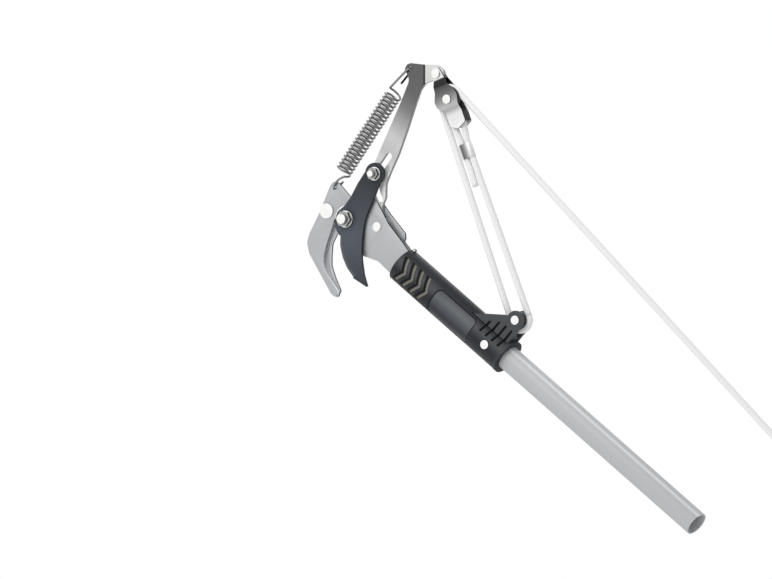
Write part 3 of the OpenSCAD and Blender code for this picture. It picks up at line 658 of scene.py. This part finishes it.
def make_sheave(colours):
    """Moulded black wheels."""
    f = Finish("sheave_moulding", Metallic=0.0)
    fine = f.noise(900.0)
    cloud = f.noise(60.0, detail=4.0)
    base = tuple(colours.wheel)
    tone = f.mix(fine * 0.3 + cloud * 0.7, tint(base, 0.88), tint(base, 1.08))
    f.feed(Base_Color=tone, Roughness=0.42 + fine * 0.1 + cloud * 0.08)
    f.bump(fine, 0.1, 0.00004)
    return f.material


def make_spring(colours):
    """Drawn spring wire, painted nearly black as shade on the tail behind the lever's hole."""
    f = Finish("spring_wire", Metallic=0.85)
    x, y, _ = f.place()
    fine = f.noise(900.0)
    # Painted shade on the tail behind the lever's hole
    tail = (y > 2.4) * (x > 138.0)
    tone = f.mix(fine, tint(colours.wire, 0.87), tint(colours.wire, 1.13))
    tone = f.mix(tail, tone, (0.015, 0.015, 0.015))
    f.feed(Base_Color=tone, Roughness=0.24 + fine * 0.1 + tail * 0.4)
    f.bump(fine, 0.1, 0.00004)
    return f.material


def finishes():
    """Makes each finish once and returns them by slot."""
    if not FINISHES:
        c = bpy.context.scene.pruner_colours
        FINISHES.update(
            pole=make_alloy(c),
            plate=make_plate(c),
            blade=make_blade(c),
            lever=make_plating(c),
            sleeve=make_charcoal(c),
            cord=make_cord(c),
            fastener=make_fastener("bright_zinc", tuple(c.bright)),
            nut=make_fastener("nut_zinc", tint(c.bright, 0.46)),
            sheave=make_sheave(c),
            ferrule=make_ferrule(),
            spring=make_spring(c),
            strap=make_strap(c),
        )
    return FINISHES


def add_object(name, mesh, slot):
    """A mesh as a piece with one finish."""
    obj = bpy.data.objects.new(name, mesh)
    bpy.context.scene.collection.objects.link(obj)
    mesh.materials.clear()
    mesh.materials.append(finishes()[slot])
    return obj


def swept(name, points, radius, sides, slot, normal=(0, 1, 0)):
    """A closed tube along points, with a UV map whose V runs in turns of its girth."""
    count = len(points)
    tangents = [(points[min(i + 1, count - 1)] - points[max(i - 1, 0)]).normalized() for i in range(count)]
    turns = [math.tau * k / sides for k in range(sides)]
    circle = [(math.cos(a) * radius, math.sin(a) * radius) for a in turns]
    bm = bmesh.new()
    layer = bm.loops.layers.uv.new("UVMap")
    rings, runs, n, run = [], [], Vector(normal), 0.0
    for i, (p, t) in enumerate(zip(points, tangents)):
        n = (n - t * n.dot(t)).normalized()
        b = t.cross(n)
        run += (p - points[i - 1]).length / (radius * math.tau) if i else 0.0
        runs.append(run)
        rings.append([bm.verts.new(p + n * across + b * up) for across, up in circle])
    for i in range(count - 1):
        for k in range(sides):
            j = (k + 1) % sides
            face = bm.faces.new((rings[i][k], rings[i][j], rings[i + 1][j], rings[i + 1][k]))
            face.smooth = True
            corners = ((k, i), (k + 1, i), (k + 1, i + 1), (k, i + 1))
            for loop, (u, v) in zip(face.loops, corners):
                loop[layer].uv = (u / sides, runs[v])
    bm.faces.new(rings[0])
    bm.faces.new(list(reversed(rings[-1])))
    bmesh.ops.recalc_face_normals(bm, faces=bm.faces)
    mesh = bpy.data.meshes.new(name)
    bm.to_mesh(mesh)
    bm.free()
    return add_object(name, mesh, slot)


def body_of(node):
    """The moving body that carries a node."""
    for body, members in frame["record"]["behaviour"]["bodies"].items():
        if node in members:
            return body
    raise ValueError(node)


def dressed(node, slot, width):
    """A copy of a CAD node with broken edges and clean shading, which then stands for the node."""
    weld, flat, bevelled, shaded = 2e-6, math.radians(0.6), math.radians(24), math.radians(30)
    mesh = frame["nodes"][node].data.copy()
    mesh.name = node + "_finished"
    bm = bmesh.new()
    bm.from_mesh(mesh)
    bmesh.ops.remove_doubles(bm, verts=bm.verts, dist=weld)
    bmesh.ops.dissolve_limit(bm, angle_limit=flat, verts=bm.verts, edges=bm.edges)
    sharp = [e for e in bm.edges if e.is_manifold and e.calc_face_angle(0.0) > bevelled]
    if width > 0:
        bmesh.ops.bevel(bm, geom=sharp, offset=width, segments=2, profile=0.6,
                        affect="EDGES", clamp_overlap=True)
    bm.to_mesh(mesh)
    bm.free()
    mesh.polygons.foreach_set("use_smooth", [True] * len(mesh.polygons))
    mesh.set_sharp_from_angle(angle=shaded)
    obj = add_object(node + "_finished", mesh, slot)
    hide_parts(node)
    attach(obj, body_of(node))


def riding(obj, body, slot, *nodes):
    """Lets a piece ride on a body, standing for the nodes that are named."""
    if nodes:
        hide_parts(*nodes)
    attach(obj, body)


class Maker(Nodes):
    """A geometry tree with named inputs, from which meshes are made."""

    def __init__(self, name, **inputs):
        super().__init__(bpy.data.node_groups.new(name, "GeometryNodeTree"))
        sockets = self.tree.interface
        sockets.new_socket("Geometry", in_out="OUTPUT", socket_type="NodeSocketGeometry")
        for label, kind in inputs.items():
            sockets.new_socket(label, in_out="INPUT", socket_type="NodeSocket" + kind)
        given = self.tree.nodes.new("NodeGroupInput")
        self.given = [Wire(self.tree, given.outputs[label]) for label in inputs]

    def close(self, geometry, finish):
        """Ends the tree in real geometry with its material."""
        real = self.add("GeometryNodeRealizeInstances", None, {"Geometry": geometry})
        done = self.add("GeometryNodeSetMaterial", None, {"Geometry": real, "Material": finish})
        out = self.tree.nodes.new("NodeGroupOutput")
        self.tree.links.new(done.socket, out.inputs[0])

    def mesh(self, name, values):
        """The smooth mesh that the tree makes from these inputs."""
        carrier = bpy.data.objects.new(name, bpy.data.meshes.new(name))
        bpy.context.scene.collection.objects.link(carrier)
        modifier = carrier.modifiers.new(name, "NODES")
        modifier.node_group = self.tree
        for item in self.tree.interface.items_tree:
            if item.in_out == "INPUT":
                modifier[item.identifier] = values[item.name]
        bpy.context.view_layer.update()
        evaluated = carrier.evaluated_get(bpy.context.evaluated_depsgraph_get())
        mesh = bpy.data.meshes.new_from_object(evaluated)
        bpy.data.objects.remove(carrier)
        mesh.polygons.foreach_set("use_smooth", [True] * len(mesh.polygons))
        return mesh


class PRUNER_OT_camera(Operator):
    """Place the camera below and beside the head, rolled as the pole is held"""

    bl_idname = "pruner.camera"
    bl_label = "Camera"

    def execute(self, context):
        look = context.scene.pruner_stage
        camera = bpy.data.objects.new("camera", bpy.data.cameras.new("camera"))
        context.scene.collection.objects.link(camera)
        camera.data.type = "ORTHO"
        camera.data.ortho_scale = look.view_width
        out = Vector((0.304, -0.866, -0.397)).normalized()
        up = Vector((0.794, 0.0, 0.608))
        right = up.cross(out).normalized()
        up = out.cross(right)
        across, above, away = -0.3105, 0.2345, 4.0
        place = right * across + up * above + out * away
        camera.matrix_world = Matrix.Translation(place) @ Matrix((right, up, out)).transposed().to_4x4()
        camera.data.clip_end = 60.0
        context.scene.camera = camera
        return {"FINISHED"}


class PRUNER_OT_pull_cord(Operator):
    """Lay the free cord from the block down to its stopper knot"""

    bl_idname = "pruner.pull_cord"
    bl_label = "Pull cord"

    def execute(self, context):
        s = context.scene.pruner_sizes
        over_wheel = arc(UPPER_AXLE, UPPER_PITCH, HAUL_M, PULL_M, 30)
        path = in_space(over_wheel + line(PULL_TOP, PULL_END, 40)[1:])
        cord = swept("pull_cord_braid", path, s.cord_radius, s.cord_sides, "cord")
        knot = self.knot(s)
        riding(cord, "pull_body", "cord", "pull_cord")
        riding(knot, "pull_body", "cord", "cord_knot")
        return {"FINISHED"}

    def knot(self, s):
        """A figure-of-eight stopper: wraps of cord round the standing part, and a short end."""
        above, start = in_space([PULL_TOP, PULL_END])
        down = (start - above).normalized()
        side = Vector((0, 1, 0))
        other = down.cross(side)
        turns, steps, wrap_radius, inner_radius = 1.75, 60, 0.0034, 0.0008
        lead, length, end_step = 0.0012, 0.0105, 0.0025
        points = [start, start + down * (lead / 2)]
        for i in range(steps + 1):
            t = i / steps
            r = wrap_radius * math.sin(math.pi * min(1.0, t * 1.02)) ** 0.45 if t < 0.98 else inner_radius
            a = math.tau * turns * t
            around = side * (r * math.cos(a)) + other * (r * math.sin(a))
            points.append(start + down * (lead + length * t) + around)
        points += [points[-1] + down * k * end_step for k in (1, 2, 3)]
        return swept("stopper_knot", points, s.cord_radius * 0.96, 14, "cord", (0.3, 1, 0.1))


class PRUNER_OT_tackle(Operator):
    """Reeve the cord between the block and the lower sheave, with its eye and tail"""

    bl_idname = "pruner.tackle"
    bl_label = "Tackle cord"

    def execute(self, context):
        s = context.scene.pruner_sizes
        for node, top, low, steps in (
            ("hauling_fall", HAUL_TOP, HAUL_LOW, 44),
            ("standing_fall", STAND_TOP, STAND_LOW, 36),
        ):
            path = in_space(line(top, low, steps))
            piece = swept(node + "_braid", path, s.cord_radius, s.cord_sides, "cord")
            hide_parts(node)
            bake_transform(piece)
        lead = 5.0
        first = STAND_LOW + (STAND_TOP - STAND_LOW).normalized() * lead
        last = HAUL_LOW + (HAUL_TOP - HAUL_LOW).normalized() * lead
        turn = in_space([first] + arc(LOWER_AXLE, LOWER_PITCH, STAND_M, HAUL_M, 26) + [last])
        turn = swept("lower_turn_braid", turn, s.cord_radius * 0.985, s.cord_sides, "cord")
        riding(turn, "turn_body", "cord", "lower_turn")
        eye = swept("cord_eye_braid", self.eye(), s.cord_radius * 0.99, s.cord_sides, "cord")
        riding(eye, "block_body", "cord", "cord_eye")
        return {"FINISHED"}

    def eye(self):
        """From inside the ferrule round the cord's pin, back through the ferrule to the tail's end."""
        head, mid, foot = FERRULE_S, FERRULE_S + FERRULE_L / 2, FERRULE_S + FERRULE_L
        right, left, tail = FERRULE_T + STRAND, FERRULE_T - STRAND, foot + TAIL_L
        path = [(mid + 4, right), (mid, right), (head, right), (head - 5, right + 0.3)]
        path += [tuple(p) for p in arc(BECKET, EYE_R, math.radians(80), math.radians(280), 26)]
        path += [(head - 5, left - 0.3), (head, left), (mid, left), (foot, left), (foot + 14, left)]
        path += [(tail - 3, left - 0.5), (tail, left - 0.6)]
        return in_space([at_block(along, across) for along, across in path])


class PRUNER_OT_spring(Operator):
    """Wind the return spring and bend its two hooks"""

    bl_idname = "pruner.spring"
    bl_label = "Return spring"

    LEAN = 2.8
    DEPTH = -1.8
    LOW_HOOK, TOP_HOOK = 18.0, 33.5
    STEPS_PER_TURN, WIRE_SIDES = 26, 12

    def execute(self, context):
        s = context.scene.pruner_sizes
        reach = (SPRING_HOLE - ANCHOR).length
        low, high = self.LOW_HOOK, reach - self.TOP_HOOK
        mesh = self.coil_maker().mesh("spring_coil_wire", {
            "Turns": s.coil_turns, "Radius": s.coil_radius, "Wire": s.wire_radius,
            "Low": low * MM, "High": high * MM, "Finish": finishes()["spring"]})
        top = Vector((high * MM, 0, 0))
        lean = Matrix.Rotation(math.atan2(self.LEAN, high - low), 4, "Y")
        leaning = Matrix.Translation(top) @ lean @ Matrix.Translation(-top)
        place = Matrix.Translation(at_spring(0, self.DEPTH, 0)) @ Matrix.Rotation(-SPRING_A, 4, "Y")
        mesh.transform(place @ leaning)
        coil = add_object("spring_coil_wire", mesh, "spring")
        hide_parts("spring_coil")
        tuple(at_spring(low, self.DEPTH, 0))
        tuple(at_spring(high, self.DEPTH, 0))
        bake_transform(coil)
        for node, body, points in (
            ("spring_low_hook", "low_hook_body", self.low_hook(low, s.coil_radius / MM)),
            ("spring_top_hook", "top_hook_body", self.top_hook(high, reach, s.coil_radius / MM)),
        ):
            path = flowing([at_spring(*p) for p in points], 6)
            hook = swept(node + "_wire", path, s.wire_radius, self.WIRE_SIDES, "spring")
            riding(hook, body, "spring", node)
        return {"FINISHED"}

    def low_hook(self, low, r):
        """From the coil's first turn along the front plate's face, through its hole and back behind it."""
        side = self.LEAN - r
        return [
            (low, self.DEPTH, side), (low - 0.6, -4.2, side + 0.5), (low - 2, -6.0, side + 2.4),
            (low - 4, -6.6, -1.4), (10, -6.4, 0.6), (5, -6.2, 1.6), (1.4, -6.0, 1.0), (0, -4.8, 0),
            (0, -2.2, 0), (1.2, -0.8, -0.3), (10, -0.6, -2.4)]

    def top_hook(self, high, reach, r):
        """From the coil's last turn by a loop to its axis, and through the lever's hole to a tail."""
        return [
            (high, self.DEPTH, -r), (high + 0.3, 1.4, -r + 0.3), (high + 1.2, 4.0, -r + 2.6),
            (high + 2.4, 4.4, -1.2), (high + 3.4, 2.6, 3.4), (high + 3.9, 0.2, r - 1.2),
            (high + 4.8, -1.4, r - 0.4), (high + 7.0, -2.2, r - 1.2), (reach - 6, -3.5, 1.6),
            (reach - 1.5, -3.5, 0.3), (reach - 0.3, -2.4, 0), (reach, 0, 0), (reach - 0.3, 2.4, 0),
            (reach - 1.6, 3.5, -0.6), (reach - 20, 3.6, 1.6)]

    def coil_maker(self):
        """Helix along the spring's axis, swept with the wire's circle."""
        n = Maker("wound_coil", Turns="Float", Radius="Float", Wire="Float", Low="Float", High="Float",
                  Finish="Material")
        turns, radius, wire, low, high, finish = n.given
        straight = n.add("GeometryNodeCurvePrimitiveLine", None, {"End": (1, 0, 0)})
        count = turns * self.STEPS_PER_TURN
        points = n.add("GeometryNodeResampleCurve", None, {"Curve": straight, "Count": count})
        t = n.add("GeometryNodeSplineParameter")
        angle = t * turns * math.tau - math.pi / 2
        x, y, z = low + (high - low) * t, radius * angle.cosine(), radius * angle.sine()
        place = n.add("ShaderNodeCombineXYZ", None, {"X": x, "Y": y, "Z": z})
        curve = n.add("GeometryNodeSetPosition", None, {"Geometry": points, "Position": place})
        circle = {"Resolution": self.WIRE_SIDES, "Radius": wire}
        ring = n.add("GeometryNodeCurvePrimitiveCircle", None, circle)
        inputs = {"Curve": curve, "Profile Curve": ring, "Fill Caps": True}
        n.close(n.add("GeometryNodeCurveToMesh", None, inputs), finish)
        return n


class PRUNER_OT_pole(Operator):
    """Finish the pole tube"""

    bl_idname = "pruner.pole"
    bl_label = "Pole"

    def execute(self, context):
        dressed("pole_tube", "pole", context.scene.pruner_sizes.soft_bevel)
        return {"FINISHED"}


class PRUNER_OT_sleeve(Operator):
    """Finish the moulded sleeve with its grooves, panel and ears"""

    bl_idname = "pruner.sleeve"
    bl_label = "Sleeve"

    def execute(self, context):
        for node in ("socket_sleeve", "sleeve_lugs"):
            dressed(node, "sleeve", context.scene.pruner_sizes.soft_bevel)
        return {"FINISHED"}


class PRUNER_OT_plates(Operator):
    """Finish the two hook plates, their spacer and the link's collar"""

    bl_idname = "pruner.plates"
    bl_label = "Hook plates"

    def execute(self, context):
        for node in ("hook_plate_front", "hook_plate_back", "pivot_spacer", "link_collar"):
            dressed(node, "plate", context.scene.pruner_sizes.plate_bevel)
        return {"FINISHED"}


class PRUNER_OT_blade(Operator):
    """Finish the curved blade"""

    bl_idname = "pruner.blade"
    bl_label = "Blade"

    def execute(self, context):
        dressed("blade", "blade", context.scene.pruner_sizes.fine_bevel)
        return {"FINISHED"}


class PRUNER_OT_lever(Operator):
    """Finish the lever"""

    bl_idname = "pruner.lever"
    bl_label = "Lever"

    def execute(self, context):
        dressed("lever_arm", "lever", context.scene.pruner_sizes.lever_bevel)
        return {"FINISHED"}


class PRUNER_OT_block(Operator):
    """Finish the block's strap and pin, the two sheaves and the crimped ferrule"""

    bl_idname = "pruner.block"
    bl_label = "Block"

    def execute(self, context):
        s = context.scene.pruner_sizes
        dressed("block_strap", "strap", s.soft_bevel)
        dressed("becket_pin", "strap", s.fine_bevel)
        dressed("upper_sheave", "sheave", s.soft_bevel)
        dressed("lower_sheave", "sheave", s.soft_bevel)
        dressed("crimp_ferrule", "ferrule", s.soft_bevel)
        return {"FINISHED"}


class PRUNER_OT_fasteners(Operator):
    """Finish nuts, washers, rivets and pins, and cut the threads of the bolt ends"""

    bl_idname = "pruner.fasteners"
    bl_label = "Fasteners"

    NODES = (
        "hook_rivet", "lever_rivet", "pivot_bolt", "pivot_nut", "pivot_nut_washer", "pivot_washer",
        "sleeve_rivets", "sleeve_top_pin", "lower_sheave_axle", "link_bolt", "link_nut",
        "link_nut_washer", "link_back_washer", "tip_pin", "upper_sheave_axle",
    )
    RIDGES, THREAD_FRONT = 4, -18.2

    def execute(self, context):
        s = context.scene.pruner_sizes
        for node in self.NODES:
            finish = "nut" if node.endswith("nut") else "fastener"
            dressed(node, finish, s.fastener_bevel * (0.5 if "washer" in node else 1.0))
        maker = self.thread_maker()
        for name, centre, radius, body in (
            ("pivot_thread", BLADE_PIVOT, 4.82, "body"),
            ("link_thread", LINK_PIN, 3.02, "blade_body"),
        ):
            mesh = maker.mesh(name, {
                "Radius": radius * MM, "Pitch": s.thread_pitch, "Count": self.RIDGES,
                "Finish": finishes()["fastener"]})
            place = Vector((centre.x, self.THREAD_FRONT, centre.y)) * MM
            mesh.transform(Matrix.Translation(place))
            riding(add_object(name, mesh, "fastener"), body, "fastener")
        return {"FINISHED"}

    def thread_maker(self):
        """A row of thin rings along the bolt's end."""
        n = Maker("thread_ridges", Radius="Float", Pitch="Float", Count="Int", Finish="Material")
        radius, pitch, count, finish = n.given
        circle = "GeometryNodeCurvePrimitiveCircle"
        step = n.add("ShaderNodeCombineXYZ", None, {"Y": pitch})
        places = n.add("GeometryNodeMeshLine", None, {"Count": count, "Offset": step})
        loop = n.add(circle, None, {"Resolution": 40, "Radius": radius})
        ridge = n.add(circle, None, {"Resolution": 8, "Radius": pitch * 0.36})
        ring = n.add("GeometryNodeCurveToMesh", None, {"Curve": loop, "Profile Curve": ridge})
        upright = {"Geometry": ring, "Rotation": (math.pi / 2, 0, 0)}
        turned = n.add("GeometryNodeTransform", None, upright)
        row = n.add("GeometryNodeInstanceOnPoints", None, {"Points": places, "Instance": turned})
        n.close(row, finish)
        return n


class PRUNER_OT_stage(Operator):
    """Set the pale floor, the soft light and the white surroundings"""

    bl_idname = "pruner.stage"
    bl_label = "Stage"

    def execute(self, context):
        look = context.scene.pruner_stage
        self.floor()
        self.sky(context.scene, look.sky)
        target, distance = Vector((0.06, 0.0, 0.42)), 2.2
        for name, out, power, size in (
            ("key", Vector((0.38, -0.83, 0.40)), look.key_power, 0.6),
            ("side", Vector((0.8, -0.55, 0.9)), look.fill_power, 1.0),
            ("low", Vector((-0.9, -0.5, -0.5)), look.fill_power, 1.8),
            ("back", Vector((0.2, 0.9, 0.6)), look.fill_power, 1.6),
        ):
            lamp = bpy.data.lights.new(name, "AREA")
            lamp.energy, lamp.size = power, size
            obj = bpy.data.objects.new(name, lamp)
            context.scene.collection.objects.link(obj)
            obj.location = target + out.normalized() * distance
            obj.rotation_euler = (target - obj.location).to_track_quat("-Z", "Y").to_euler()
        context.scene.view_settings.view_transform = "Standard"
        return {"FINISHED"}

    def floor(self):
        """A wide pale plane far below the head."""
        bpy.ops.mesh.primitive_plane_add(size=24.0, location=(0, 0, -2.4))
        floor = bpy.context.object
        floor.name = "floor"
        material = bpy.data.materials.new("pale_floor")
        material.use_nodes = True
        shader = material.node_tree.nodes["Principled BSDF"]
        shader.inputs["Base Color"].default_value = (0.86, 0.86, 0.86, 1)
        shader.inputs["Roughness"].default_value = 0.9
        floor.data.materials.append(material)

    def sky(self, scene, strength):
        """Soft light from all round, in front of surroundings that look white."""
        scene.world = bpy.data.worlds.new("white_room")
        scene.world.use_nodes = True
        tree = scene.world.node_tree
        tree.nodes.clear()
        n = Nodes(tree)
        ray = tree.nodes.new("ShaderNodeLightPath").outputs
        direct, mirrored, through = (
            Wire(tree, ray["Is %s Ray" % kind]) for kind in ("Camera", "Glossy", "Transmission"))
        seen = direct.most(mirrored).most(through)
        light = {"Color": (1, 1, 1, 1), "Strength": strength + seen * (1.0 - strength)}
        back = n.add("ShaderNodeBackground", None, light)
        out = tree.nodes.new("ShaderNodeOutputWorld")
        tree.links.new(back.socket, out.inputs[0])


STEPS = (
    PRUNER_OT_camera, PRUNER_OT_pull_cord, PRUNER_OT_tackle, PRUNER_OT_spring, PRUNER_OT_pole,
    PRUNER_OT_sleeve, PRUNER_OT_plates, PRUNER_OT_blade, PRUNER_OT_lever, PRUNER_OT_block,
    PRUNER_OT_fasteners, PRUNER_OT_stage,
)


class PRUNER_PT_panel(Panel):
    """Lists the steps and the sizes"""

    bl_label = "Pruner Pole"
    bl_idname = "PRUNER_PT_panel"
    bl_space_type = "VIEW_3D"
    bl_region_type = "UI"
    bl_category = "Pruner"

    def draw(self, context):
        for step in STEPS:
            self.layout.operator(step.bl_idname)
        scene = context.scene
        for group in (scene.pruner_sizes, scene.pruner_colours, scene.pruner_stage):
            for name in group.__annotations__:
                self.layout.prop(group, name)


CLASSES = (HeadSizes, FinishColours, StageLook, *STEPS, PRUNER_PT_panel)


def register():
    for cls in CLASSES:
        bpy.utils.register_class(cls)
    bpy.types.Scene.pruner_sizes = PointerProperty(type=HeadSizes)
    bpy.types.Scene.pruner_colours = PointerProperty(type=FinishColours)
    bpy.types.Scene.pruner_stage = PointerProperty(type=StageLook)


def unregister():
    del bpy.types.Scene.pruner_stage
    del bpy.types.Scene.pruner_colours
    del bpy.types.Scene.pruner_sizes
    for cls in reversed(CLASSES):
        bpy.utils.unregister_class(cls)


def main():
    register()
    for step in STEPS:
        group, name = step.bl_idname.split(".")
        getattr(getattr(bpy.ops, group), name)()


if __name__ == "__main__":
    main()
